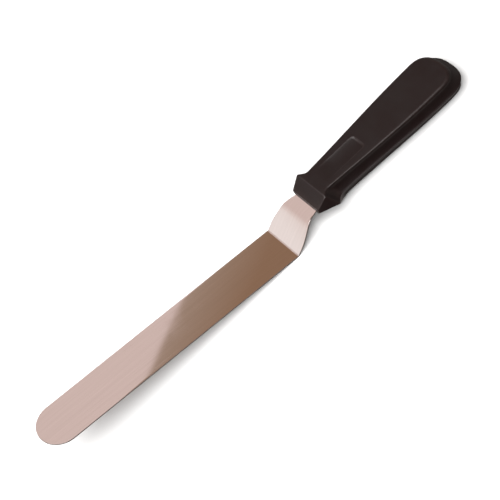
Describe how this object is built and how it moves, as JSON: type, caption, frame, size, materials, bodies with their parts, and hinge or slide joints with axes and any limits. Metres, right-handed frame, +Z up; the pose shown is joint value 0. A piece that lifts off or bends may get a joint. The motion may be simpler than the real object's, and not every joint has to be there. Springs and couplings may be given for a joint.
{
  "type": "offset spatula",
  "caption": "Cranked offset spatula: long round-tipped stainless blade, stepped shank and a tapered black moulded handle with a thumb panel.",
  "frame": {"origin": "bottom centre of the object's box as it rests on a table, on its heel bend and the lower edge of its butt", "axes": "+X along the object from the blade tip to the handle's butt, +Y across the blade, +Z up from the table"},
  "size_m": [0.3617, 0.0386, 0.0384],
  "materials": {
    "stainless_blade": "fine satin polish, mirror-like on the flat blade",
    "handle_plastic": "warm black polypropylene with a fine moulded grain"
  },
  "bodies": {
    "root": {"blade": "stainless_blade", "handle_upper_half": "handle_plastic", "handle_lower_half": "handle_plastic"}
  },
  "joints": []
}
